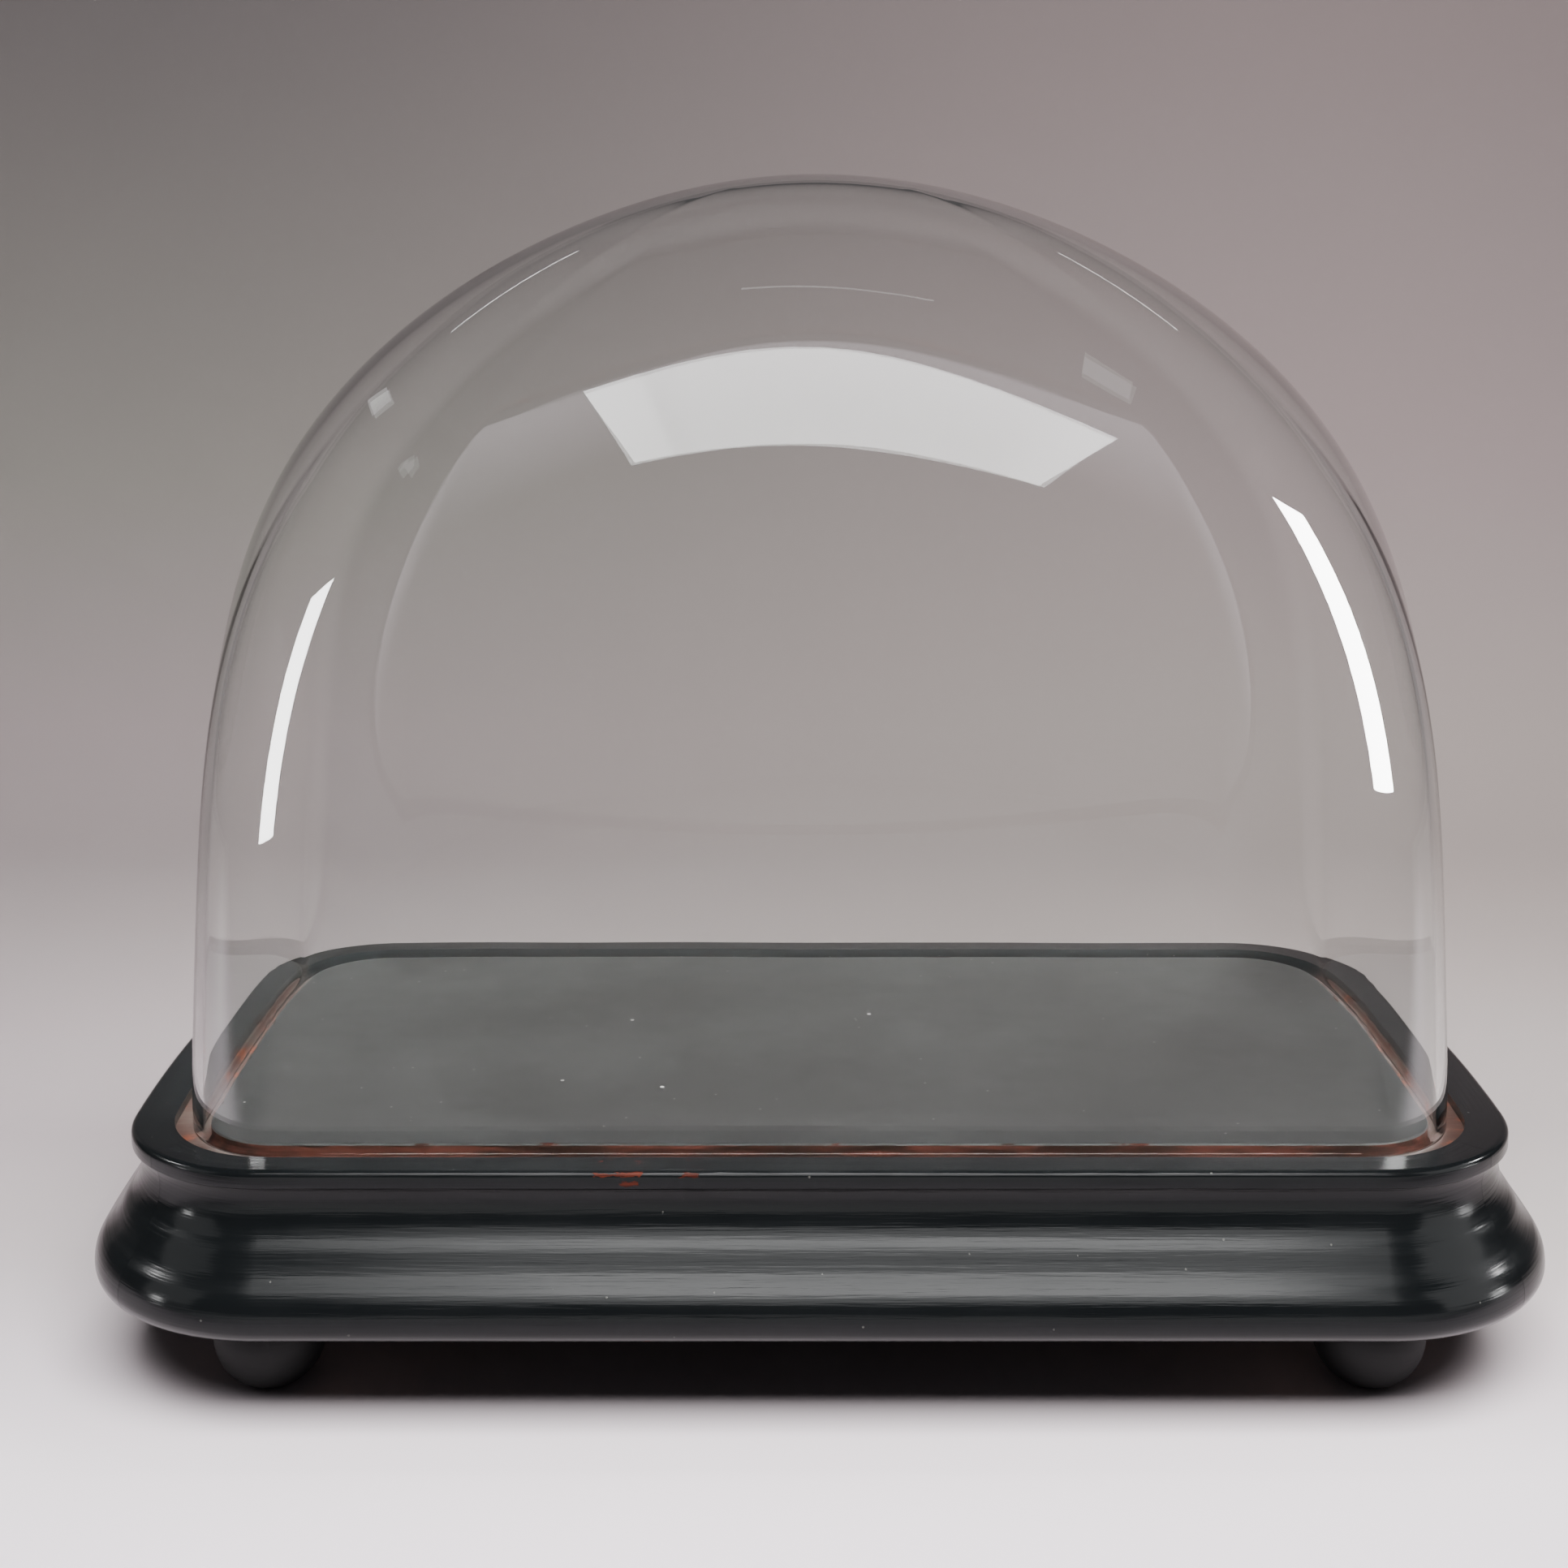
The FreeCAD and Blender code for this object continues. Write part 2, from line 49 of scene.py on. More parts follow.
# Plan of the base: the rim's outline and the well's, which holds the groove and the
# platform. Both have straight long sides, bowed ends and corner arcs tangent to both.
END_RADIUS = 808 * MM
RIM = {"half_width": 214 * MM, "half_depth": 112.2 * MM, "corner": 49.1 * MM}
WELL = {"half_width": 201 * MM, "half_depth": 101.7 * MM, "corner": 37 * MM}
RIM_WIDTH_FRONT = RIM["half_depth"] - WELL["half_depth"]
RIM_WIDTH_END = RIM["half_width"] - WELL["half_width"]

# Section of the moulding, out from the rim's outline and down from its top.
NOSE_RADIUS = 2 * MM
FASCIA_HEIGHT = 5.4 * MM
ARRIS_RADIUS = 0.5 * MM
NECK_DEPTH = 10.5 * MM
NECK_INSET = 2.5 * MM
NECK_RADIUS = 11.7 * MM
# Below the neck the section is a chain of tangent arcs, hollow where the radius is
# negative: the foot of the neck, a swelling, a shallow hollow and, last, the two arcs of
# the bullnose. Each arc ends where the surface faces up by the given number of degrees.
NECK_CHAIN = [
    (-16.7 * MM, 39),
    (25 * MM, 28),
    (-30.5 * MM, 43),
    (14.2 * MM, 0),
    (7 * MM, -90),
]

# Glass dome: each profile is the coefficients of s, s ** 2 and so on in
# width = sqrt((1 - s) * (1 + ...)), where s runs from 0 at the foot to 1 at the crown.
# A first coefficient of 1 makes the wall stand upright at the foot.
FRONT_PROFILE = (1.0, -0.21, 6.23, -5.2)
SIDE_PROFILE = (1.0, 1.0, 1.0)
# The foot stands this far in from the well. Going up, the plan turns from the well's
# squarish outline into an oval, as this power of the share of the height.
GLASS_INSET = 5.4 * MM
PLAN_FADE = 2.0
GLASS_WALL = 3 * MM
LIP_RADIUS = GLASS_WALL / 2
# The blown wall isn't quite even: it ripples by this much over about this length.
RIPPLE_HEIGHT = 0.06 * MM
RIPPLE_LENGTH = 45 * MM

# The platform stands this far in from the well, and its top edge is this round.
PLATFORM_INSET = 10.8 * MM
PLATFORM_EDGE = 0.5 * MM

# Ball feet: the ball, how high its centre stands, and the spigot above it.
FOOT_RADIUS = 17 * MM
FOOT_CENTRE = 16 * MM
SPIGOT_RADIUS = 4.5 * MM

# How finely the curved meshes are divided.
ARC_STEPS = 300
NOSE_STEPS = 14
ARRIS_STEPS = 3
NECK_STEPS = 8
CHAIN_DEGREES = 2.5
RAIL_SPACING = 2 * MM
PLATFORM_POINTS = 320
PLATFORM_EDGE_STEPS = 4
PLATFORM_RINGS = [1.5 * MM, 4 * MM, 10 * MM, 20 * MM]
FOOT_STEPS = 40
FOOT_SIDES = 96
GLASS_ROWS = 110
GLASS_POINTS = 400
LIP_STEPS = 6
SWEEP_STEPS = 24
BOW_STEPS = 14

# Each rail stops this far short of the middle of its corners.
MITRE_GAP = 0.05 * MM
# Faces that meet at more than this angle have a sharp edge between them.
SHARP_DEGREES = 35

# Each rail's grain starts this much further along the pattern than the last one's.
GRAIN_STEP = 0.7
# How far apart the pattern takes the points round the platform's edge to be.
PLATFORM_SPACING = 3.2 * MM
# Where in the noise the ripple of each skin of the glass is taken.
OUTER_SEED = 0.0
INNER_SEED = 40.0

# Patterns of noise: their coordinates, how many cells to a metre there are along each
# axis, how much detail, and how rough the detail is where it isn't the usual.
MOULDING_STREAKS = ("UV", (45, 1200, 1), 3)
MOULDING_BANDS = ("UV", (5, 260, 1), 4)
MOULDING_PATCHES = ("Object", (30, 30, 30), 3)
CHIP_EDGES = ("Object", (330, 500, 900), 5, 0.7)
BOARD_PATCHES = ("Object", (14, 14, 14), 4)
BOARD_WEAR = ("UV", (60, 300, 1), 4)
BOARD_GRAIN = ("Object", (60, 400, 900), 4)
GROOVE_GRAIN = ("Object", (30, 500, 500), 4)
GROOVE_PATCHES = ("Object", (70, 70, 70), 5)
FOOT_RINGS = ("Object", (60, 60, 900), 3)
PINE_GRAIN = ("Object", (20, 350, 350), 5)
STEEL_PATCHES = ("Object", (600, 600, 600), 4)
# Patterns of specks: cells to a metre, the radius of a speck in cells, and the share of
# the cells that have one. Dust shows more faintly than lint, by these shares.
MOULDING_DUST = ((260, 260, 260), 0.09, 0.08)
BOARD_DUST = ((150, 150, 150), 0.06, 0.3)
BOARD_LINT = ((60, 60, 60), 0.04, 0.2)
MOULDING_DUST_SHARE = 0.4
BOARD_DUST_SHARE = 0.35
# The values of noise over which one thing turns into another; plain noise lies mostly
# within the first.
NOISE_SPAN = (0.3, 0.7)
CHIP_GRAIN_SPAN = (0.35, 0.6)
BOARD_GRAIN_SPAN = (0.4, 0.65)
WEAR_SPAN = (0.56, 0.66)
STAIN_SPAN = (0.48, 0.62)
RED_SPAN = (0.36, 0.42)

# Tones, as linear red, green and blue: one, or the darker and the lighter of two.
MOULDING_BLACK = ((0.0022, 0.0027, 0.0030), (0.0040, 0.0046, 0.0050))
MOULDING_DUST_TONE = (0.10, 0.10, 0.09)
CHIP_WOOD = ((0.018, 0.005, 0.004), (0.055, 0.012, 0.007))
BOARD_BLACK = ((0.0035, 0.0035, 0.0036), (0.0055, 0.0055, 0.0054))
BOARD_DUST_TONE = (0.22, 0.21, 0.20)
BOARD_WOOD = ((0.004, 0.002, 0.0015), (0.016, 0.005, 0.0035))
GROOVE_WOOD = ((0.012, 0.006, 0.0045), (0.026, 0.012, 0.009))
GROOVE_STAIN = (0.026, 0.018, 0.015)
GROOVE_RED = (0.055, 0.014, 0.006)
# Painted shade: the wood under the base is darkened to this.
UNDERSIDE_PAINTED_SHADE = (0.006, 0.005, 0.0045)
FOOT_BLACK = ((0.003, 0.0032, 0.0033), (0.006, 0.0062, 0.0063))
PINE = ((0.10, 0.06, 0.035), (0.17, 0.11, 0.07))
STEEL = ((0.30, 0.28, 0.26), (0.46, 0.45, 0.43))
GLASS_TINT = (0.975, 0.985, 0.98)
GLASS_SHADE = (0.93, 0.94, 0.935)
# The painted shade at the tongue's edges.
TONGUE_PAINTED_SHADE = (0.01, 0.01, 0.01)
BLACK = (0, 0, 0)

# How rough the surfaces are, one value or from the least to the most. The moulding's
# patches add a little to its own.
MOULDING_ROUGHNESS = (0.13, 0.21)
PATCH_ROUGHNESS = (-0.02, 0.04)
BOARD_ROUGHNESS = (0.4, 0.5)
STEEL_ROUGHNESS = (0.35, 0.6)
GROOVE_ROUGHNESS = 0.7
FOOT_ROUGHNESS = 0.62
PINE_ROUGHNESS = 0.75
PAPER_ROUGHNESS = 0.9
# How strongly they mirror: first where the finish is whole, then where it is gone.
MOULDING_SPECULAR = (0.16, 0.05)
BOARD_SPECULAR = (0.3, 0.02)
GROOVE_SPECULAR = 0.2
FOOT_SPECULAR = 0.25
PAPER_SPECULAR = 0.1
# How deep the brush marks and the grain are.
STREAK_DEPTH = 0.06 * MM
BAND_DEPTH = 0.12 * MM
GRAIN_DEPTH = 0.1 * MM
TURNING_DEPTH = 0.05 * MM
GLASS_INDEX = 1.5

# Bare chips on the front of the moulding: left, right, bottom and top.
CHIPS = [
    (-65.8 * MM, -51.9 * MM, 78.5 * MM, 79.5 * MM),
    (-40.2 * MM, -35.1 * MM, 78.5 * MM, 79.5 * MM),
    (-57.7 * MM, -52.5 * MM, 75.8 * MM, 76.9 * MM),
    (-51.5 * MM, -47.5 * MM, 32.0 * MM, 33.2 * MM),
]
CHIP_SOFTNESS = 0.15 * MM
# How far a chip's edge wanders sideways, and how much of that it wanders up and down.
CHIP_RAGGEDNESS = 6 * MM
CHIP_RISE = 0.7
# The platform's worn edge reaches in this far at the most.
PLATFORM_WEAR = 1.0 * MM
# Bare wood is painted dark below the first height, as shade under the base, and keeps its own
# tones above the second.
PAINTED_SHADE_BELOW = (60 * MM, 62 * MM)

# The stage, in metres. The camera stands close in front, looking slightly down.
CAMERA_PLACE = (-0.0109, -0.6654, 0.3181)
CAMERA_PITCH = math.radians(-8.26)
CAMERA_LENS = 46.58
CAMERA_SHIFT_UP = -0.1
CAMERA_NEAREST = 0.01

# The sweep of paper, front to back: a narrow tongue, a wide floor, a bend and a back.
FLOOR_FRONT = -1.5
TONGUE_START = -0.28
TONGUE_HALF = 0.34
SWEEP_START = 0.55
SWEEP_RADIUS = 0.6
BACKDROP_HEIGHT = 1.1
BACKDROP_HALF = 1.8

# Paper tones, painted light and shade: bright just in front of the object, darker far in front,
# toward the back, up the sweep and on the left. Each stop is how far back along the sweep in
# metres, then red, green and blue.
PAPER_PAINTED_LIGHT_LEFT = [
    (-1.5, 0.01, 0.01, 0.01),
    (-0.8, 0.10, 0.095, 0.09),
    (-0.32, 0.115, 0.11, 0.105),
    (-0.19, 0.62, 0.55, 0.60),
    (-0.13, 0.62, 0.56, 0.59),
    (-0.08, 0.47, 0.42, 0.45),
    (0.0, 0.30, 0.265, 0.275),
    (0.11, 0.215, 0.18, 0.19),
    (0.4, 0.195, 0.168, 0.168),
    (0.8, 0.19, 0.16, 0.16),
    (1.2, 0.14, 0.13, 0.12),
    (1.75, 0.09, 0.08, 0.08),
    (2.25, 0.09, 0.08, 0.08),
]
PAPER_PAINTED_LIGHT_RIGHT = [
    (-1.5, 0.01, 0.01, 0.01),
    (-0.8, 0.10, 0.095, 0.09),
    (-0.32, 0.115, 0.11, 0.105),
    (-0.19, 0.66, 0.60, 0.64),
    (-0.13, 0.72, 0.65, 0.68),
    (-0.08, 0.56, 0.49, 0.51),
    (0.0, 0.40, 0.36, 0.35),
    (0.11, 0.325, 0.29, 0.285),
    (0.4, 0.27, 0.23, 0.22),
    (0.8, 0.25, 0.213, 0.203),
    (1.2, 0.21, 0.17, 0.17),
    (1.75, 0.16, 0.13, 0.13),
    (2.25, 0.13, 0.11, 0.11),
]
# The left tones of painted light give way to the right ones between these two places across the
# paper.
PAPER_BLEND = (-0.6, 0.6)
# Beyond the camera's view on either side the paper is painted brighter, as painted light for the
# glass to mirror.
MARGIN_START = 0.75
MARGIN_PAINTED_LIGHT = (0.28, 0.25, 0.25)
# In front of the object the tongue is painted darker, as painted shade, from this far out to its
# edges.
TONGUE_SHADE_START = 0.2
# It does so fully ahead of the first place and not at all behind the second.
TONGUE_SHADE_END = (-0.3, -0.15)

# The faint even light from all round.
ROOM_TINT = (0.95, 0.97, 1.0)
ROOM_LIGHT = 0.06

# What the lamps point at: the moulding's near corners and the middle of its front.
LEFT_CORNER = (-0.19, -0.1, 0.05)
RIGHT_CORNER = (0.19, -0.1, 0.05)
FRONT_MIDDLE = (0.085, -0.12, 0.05)

# The one lamp that lights the scene. It doesn't show in anything.
KEY_LAMP = {"name": "key", "place": (0.12, -0.88, 1.47), "target": (0, 0, 0),
            "size": (1.3, 0.8), "radiance": 37.0}
# Lamps that only show in the glass: two tall strips and three ceiling tubes.
GLASS_LAMPS = [
    {"name": "left_strip", "place": (-1.0, -1.3, 0.42), "target": (-0.15, -0.09, 0.2),
     "size": (0.42, 0.75), "radiance": 85.0},
    {"name": "right_strip", "place": (1.3, -1.05, 0.68), "target": (0.15, -0.09, 0.25),
     "size": (0.65, 1.05), "radiance": 220.0},
    {"name": "ceiling_tube", "place": (0.12, -0.9, 2.6), "target": (0.12, -0.9, 0),
     "size": (0.9, 0.03), "radiance": 2.8, "turn": math.radians(-7)},
    {"name": "ceiling_tube_back_left", "place": (-1.6, 1.82, 2.6), "target": (-1.6, 1.82, 0),
     "size": (0.9, 0.03), "radiance": 15.0, "turn": math.radians(-6)},
    {"name": "ceiling_tube_back_right", "place": (1.6, 1.48, 2.6), "target": (1.6, 1.48, 0),
     "size": (0.8, 0.03), "radiance": 15.0, "turn": math.radians(-8)},
]
# Lamps that only show on the moulding: the bands along its front and the corners' glints.
MOULDING_LAMPS = [
    {"name": "band_softbox", "place": (0.085, -0.884, 1.102), "target": FRONT_MIDDLE,
     "size": (0.83, 0.45), "radiance": 16.0},
    {"name": "band_softbox_low", "place": (0.085, -1.185, 0.796), "target": FRONT_MIDDLE,
     "size": (0.95, 0.42), "radiance": 5.5},
    {"name": "band_softbox_end", "place": (-0.42, -0.884, 1.102), "target": (-0.42, -0.12, 0.05),
     "size": (0.18, 0.45), "radiance": 8.0},
    {"name": "floor_glow", "place": (0.0, -0.7, 0.002), "target": (0.0, -0.7, 1.0),
     "size": (1.8, 0.84), "radiance": 1.4},
    {"name": "left_card", "place": (-1.2, -0.6, 0.5), "target": LEFT_CORNER,
     "size": (0.7, 0.7), "radiance": 1.2},
    {"name": "right_card", "place": (1.2, -0.6, 0.5), "target": RIGHT_CORNER,
     "size": (0.9, 0.9), "radiance": 2.5},
    {"name": "left_low_glint", "place": (-1.26, -0.51, 0.13), "target": LEFT_CORNER,
     "size": (0.12, 0.12), "radiance": 30.0},
    {"name": "left_high_glint", "place": (-1.13, -0.09, 0.74), "target": LEFT_CORNER,
     "size": (0.12, 0.12), "radiance": 130.0},
    {"name": "right_low_glint", "place": (1.32, -0.3, 0.1), "target": RIGHT_CORNER,
     "size": (0.2, 0.12), "radiance": 30.0},
    {"name": "right_high_glint", "place": (1.19, 0.02, 0.63), "target": RIGHT_CORNER,
     "size": (0.14, 0.14), "radiance": 100.0},
]
# Small far windows that only show in the glass, corner by corner.
WINDOWS = [
    {"name": "right_window", "radiance": 1.6, "corners": [
        (1.22, -1.34, 2.77), (1.31, -1.58, 2.59), (1.27, -1.82, 2.43), (1.18, -1.66, 2.6)]},
    {"name": "left_window", "radiance": 1.4, "corners": [
        (-1.3, -2.17, 2.07), (-1.29, -2.12, 2.14), (-1.27, -2.21, 2.04), (-1.27, -2.29, 1.95)]},
    {"name": "back_window", "radiance": 1.4, "corners": [
        (-2.01, 1.84, 1.68), (-2.03, 1.6, 1.93), (-2.19, 0.85, 2.27), (-2.27, 0.99, 2.11)]},
]
# The big softbox over the camera, which only shows in the glass: its two long edges, each
# bowed toward +Y, and how bright it is across its width, as X and a share of its radiance.
PANEL_RADIANCE = 13.0
PANEL_NEAR = {"start": (-0.495, -0.97, 1.29), "stop": (0.73, -1.36, 1.35), "bow": 0.24}
PANEL_FAR = {"start": (0.73, -2.24, 1.33), "stop": (-0.495, -1.86, 1.27), "bow": 0.12}
PANEL_FOLDS = [
    (-0.495, 1.25),
    (-0.40, 1.15),
    (-0.375, 0.8),
    (-0.3, 0.95),
    (0.58, 1.0),
    (0.66, 1.2),
]
# The windows are equally bright all over.
EVEN = [(-1.0, 1.0), (1.0, 1.0)]

BASE_BODY = "base"
DOME_BODY = "dome"
CORNERS = ("front_left", "front_right", "back_left", "back_right")
RAIL_LOW, RAIL_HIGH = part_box("rail_front")
DOME_LOW, DOME_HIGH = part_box("glass_dome")
PLATFORM_LOW, PLATFORM_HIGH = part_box("platform")
UNDERSIDE = RAIL_LOW[2]
RIM_TOP = RAIL_HIGH[2]


# ---------------------------------------------------------------- mesh helpers

def new_piece(name, vertices, faces, uvs=None):
    """A smooth-shaded mesh object, with a UV pair for each vertex where they are given."""
    mesh = bpy.data.meshes.new(name)
    mesh.from_pydata([tuple(vertex) for vertex in vertices], [], faces)
    shape = bmesh.new()
    shape.from_mesh(mesh)
    bmesh.ops.recalc_face_normals(shape, faces=shape.faces)
    shape.to_mesh(mesh)
    shape.free()
    if uvs is not None:
        layer = mesh.uv_layers.new(name="UVMap")
        for loop in mesh.loops:
            layer.data[loop.index].uv = uvs[loop.vertex_index]
    for polygon in mesh.polygons:
        polygon.use_smooth = True
    mesh.set_sharp_from_angle(angle=math.radians(SHARP_DEGREES))
    piece = bpy.data.objects.new(name, mesh)
    bpy.context.scene.collection.objects.link(piece)
    return piece


def grid_faces(rows, columns, wrap=False):
    """Quads between the rows of a grid of points; wrap joins the last column to the first."""
    faces = []
    for row in range(rows - 1):
        for column in range(columns if wrap else columns - 1):
            after = (column + 1) % columns
            faces.append((row * columns + column, row * columns + after,
                          (row + 1) * columns + after, (row + 1) * columns + column))
    return faces


def arc_points(centre, radius, start, stop, steps):
    """Points and outward directions along an arc, from one angle to another in radians."""
    angles = np.linspace(start, stop, steps + 1)
    directions = np.stack([np.cos(angles), np.sin(angles)], axis=1)
    return np.asarray(centre) + radius * directions, directions


def corner_centre(plan):
    """The centres of an outline's corner arc and bowed end, and the angle where they meet."""
    end_x = plan["half_width"] - END_RADIUS
    y = plan["half_depth"] - plan["corner"]
    x = end_x + math.sqrt((END_RADIUS - plan["corner"]) ** 2 - y ** 2)
    return x, y, end_x, math.atan2(y, x - end_x)


def outline(plan, inset, count):
    """That many points, evenly spaced, right round a plan outline moved in by inset."""
    x, y, end_x, lean = corner_centre(plan)
    corner = plan["corner"] - inset
    end = END_RADIUS - inset
    arcs = [
        ((x, -y), corner, -RIGHT_ANGLE, -lean),
        ((end_x, 0), end, -lean, lean),
        ((x, y), corner, lean, RIGHT_ANGLE),
        ((-x, y), corner, RIGHT_ANGLE, math.pi - lean),
        ((-end_x, 0), end, math.pi - lean, math.pi + lean),
        ((-x, -y), corner, math.pi + lean, 3 * RIGHT_ANGLE),
    ]
    points = np.concatenate([arc_points(*arc, ARC_STEPS)[0] for arc in arcs])
    closed = np.vstack([points, points[:1]])
    lengths = np.concatenate([[0], np.cumsum(np.linalg.norm(np.diff(closed, axis=0), axis=1))])
    places = np.linspace(0, lengths[-1], count, endpoint=False)
    return np.stack([np.interp(places, lengths, closed[:, axis]) for axis in (0, 1)], axis=1)


# ------------------------------------------------------------------- moulding

def moulding_section():
    """The section's visible line, from the rim's inner edge round to the underside.

    Each point is (out from the rim's outline, height above the floor).
    """
    neck_centre = (NECK_RADIUS - NECK_INSET, RIM_TOP - NECK_DEPTH)
    fascia_foot = RIM_TOP - FASCIA_HEIGHT
    neck_start = math.pi - math.asin((fascia_foot - neck_centre[1]) / NECK_RADIUS)
    pieces = [
        arc_points((-NOSE_RADIUS, RIM_TOP - NOSE_RADIUS), NOSE_RADIUS,
                   RIGHT_ANGLE, 0, NOSE_STEPS)[0],
        arc_points((-ARRIS_RADIUS, fascia_foot + ARRIS_RADIUS), ARRIS_RADIUS,
                   0, -RIGHT_ANGLE, ARRIS_STEPS)[0],
        arc_points(neck_centre, NECK_RADIUS, neck_start, math.pi, NECK_STEPS)[0],
    ]
    end = pieces[-1][-1]
    tilt = 0.0
    for radius, degrees in NECK_CHAIN:
        next_tilt = math.radians(degrees)
        centre = end - radius * np.array([math.cos(tilt), math.sin(tilt)])
        steps = math.ceil(math.degrees(abs(next_tilt - tilt)) / CHAIN_DEGREES)
        arc = arc_points(centre, radius, tilt, next_tilt, steps)[0][1:]
        pieces.append(arc)
        end = arc[-1]
        tilt = next_tilt
    return np.concatenate(pieces)


def rail_path(arcs):
    """Points, outward normals and running lengths along a rail.

    A straight run joins one arc to the next wherever it ends short of it.
    """
    points = []
    normals = []
    for centre, radius, start, stop in arcs:
        steps = max(2, math.ceil((stop - start) * radius / RAIL_SPACING))
        arc, directions = arc_points(centre, radius, start, stop, steps)
        points.append(arc)
        normals.append(directions)
    points = np.concatenate(points)
    normals = np.concatenate(normals)
    steps = np.linalg.norm(np.diff(points, axis=0), axis=1)
    return points, normals, np.concatenate([[0], np.cumsum(steps)])


def make_rail(side, arcs, grain_start):
    """One mitred rail: the section run along its part of the rim's outline.

    U runs along the grain and V across the section, both in metres.
    """
    section = moulding_section()
    points, normals, lengths = rail_path(arcs)
    vertices = []
    uvs = []
    for point, normal, length in zip(points, normals, lengths):
        width = RIM_WIDTH_FRONT + (RIM_WIDTH_END - RIM_WIDTH_FRONT) * normal[0] ** 2
        ring = [(-width, UNDERSIDE), (-width, RIM_TOP), *section, (-width, UNDERSIDE)]
        across = 0.0
        for index, (out, height) in enumerate(ring):
            if index:
                across += math.dist((out, height), ring[index - 1])
            vertices.append((*(point + normal * out), height))
            uvs.append((grain_start + length, across))
    columns = len(section) + 3
    faces = grid_faces(len(points), columns)
    last = len(vertices) - columns
    faces.append(tuple(range(columns - 2, -1, -1)))
    faces.append(tuple(range(last, last + columns - 1)))
    piece = new_piece(f"ebonised_rail_{side}", vertices, faces, uvs)
    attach(piece, BASE_BODY)
    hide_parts(f"rail_{side}")
    return piece


def turned(arcs):
    """The same arcs turned half round the base."""
    return [((-x, -y), radius, start + math.pi, stop + math.pi)
            for (x, y), radius, start, stop in arcs]


def make_rails():
    """The four rails, mitred at the middle of each corner."""
    x, y, end_x, lean = corner_centre(RIM)
    corner = RIM["corner"]
    mitre = math.pi / 4 + MITRE_GAP / corner
    front = [
        ((-x, -y), corner, -math.pi + mitre, -RIGHT_ANGLE),
        ((x, -y), corner, -RIGHT_ANGLE, -mitre),
    ]
    right = [
        ((x, -y), corner, mitre - RIGHT_ANGLE, -lean),
        ((end_x, 0), END_RADIUS, -lean, lean),
        ((x, y), corner, lean, RIGHT_ANGLE - mitre),
    ]
    sides = {"front": front, "right": right, "back": turned(front), "left": turned(right)}
    return [make_rail(side, arcs, GRAIN_STEP * number)
            for number, (side, arcs) in enumerate(sides.items())]


# ------------------------------------------------------------ platform and feet

def make_platform():
    """The black display board: level on top, with a slightly worn edge.

    U runs round the edge and V is how far in from it a point lies, both in metres.
    """
    low, high = PLATFORM_LOW[2], PLATFORM_HIGH[2]
    edge, _ = arc_points((PLATFORM_EDGE, high - PLATFORM_EDGE), PLATFORM_EDGE,
                         math.pi, RIGHT_ANGLE, PLATFORM_EDGE_STEPS)
    rings = [(0, low), *edge, *((inset, high) for inset in PLATFORM_RINGS)]
    vertices = []
    uvs = []
    for inset, height in rings:
        loop = outline(WELL, PLATFORM_INSET + inset, PLATFORM_POINTS)
        for index, point in enumerate(loop):
            vertices.append((*point, height))
            uvs.append((index * PLATFORM_SPACING, inset + high - height))
    faces = grid_faces(len(rings), PLATFORM_POINTS, wrap=True)
    last = len(vertices) - PLATFORM_POINTS
    faces.append(tuple(range(last, last + PLATFORM_POINTS)))
    faces.append(tuple(range(PLATFORM_POINTS - 1, -1, -1)))
    piece = new_piece("ebonised_platform", vertices, faces, uvs)
    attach(piece, BASE_BODY)
    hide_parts("platform")
    return piece


def make_foot(corner):
    """A turned ball foot with its spigot, where the CAD foot is."""
    low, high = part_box(f"foot_{corner}")
    centre = (low + high) / 2
    sole = math.asin(FOOT_CENTRE / FOOT_RADIUS)
    neck = math.asin((UNDERSIDE - FOOT_CENTRE) / FOOT_RADIUS)
    ball, _ = arc_points((0, FOOT_CENTRE), FOOT_RADIUS, -sole, neck, FOOT_STEPS)
    profile = [*ball, (SPIGOT_RADIUS, UNDERSIDE), (SPIGOT_RADIUS, high[2])]
    vertices = []
    for radius, height in profile:
        for step in range(FOOT_SIDES):
            turn = 2 * math.pi * step / FOOT_SIDES
            vertices.append((centre[0] + radius * math.cos(turn),
                             centre[1] + radius * math.sin(turn), height))
    faces = grid_faces(len(profile), FOOT_SIDES, wrap=True)
    last = len(vertices) - FOOT_SIDES
    faces.append(tuple(range(last, last + FOOT_SIDES)))
    faces.append(tuple(range(FOOT_SIDES - 1, -1, -1)))
    piece = new_piece(f"ball_foot_{corner}", vertices, faces)
    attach(piece, BASE_BODY)
    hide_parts(f"foot_{corner}")
    return piece


# ------------------------------------------------------------------ glass dome

def dome_width(share, profile):
    """How wide the dome is at a share of its height, as a share of its width at the foot."""
    swell = sum(factor * share ** power for power, factor in enumerate(profile, start=1))
    return math.sqrt((1 - share) * (1 + swell))


def dome_ring(inset, height, share):
    """The dome's plan at a share of its height, for a wall whose foot is moved in by inset."""
    foot = outline(WELL, inset, GLASS_POINTS)
    size = np.array([WELL["half_width"] - inset, WELL["half_depth"] - inset])
    reach = np.linalg.norm(foot / size, axis=1)
    squareness = 1 - share ** PLAN_FADE
    pull = (1 + (reach - 1) * squareness) / reach
    width = np.array([dome_width(share, FRONT_PROFILE), dome_width(share, SIDE_PROFILE)])
    plan = foot * width * pull[:, None]
    return np.column_stack([plan, np.full(len(plan), DOME_LOW[2] + height * share)])


def skin_normals(rows):
    """The outward direction at every point of a skin given as rings from the foot up."""
    along = np.roll(rows, -1, axis=1) - np.roll(rows, 1, axis=1)
    up = np.gradient(rows, axis=0)
    normals = np.cross(along, up)
    return normals / np.linalg.norm(normals, axis=2, keepdims=True)


def ripple(points, normals, seed):
    """Push a blown skin gently in and out along its normals."""
    heights = [[RIPPLE_HEIGHT * noise.noise(Vector(point) / RIPPLE_LENGTH + Vector((0, 0, seed)))
                for point in row] for row in points]
    return points + normals * np.array(heights)[:, :, None]


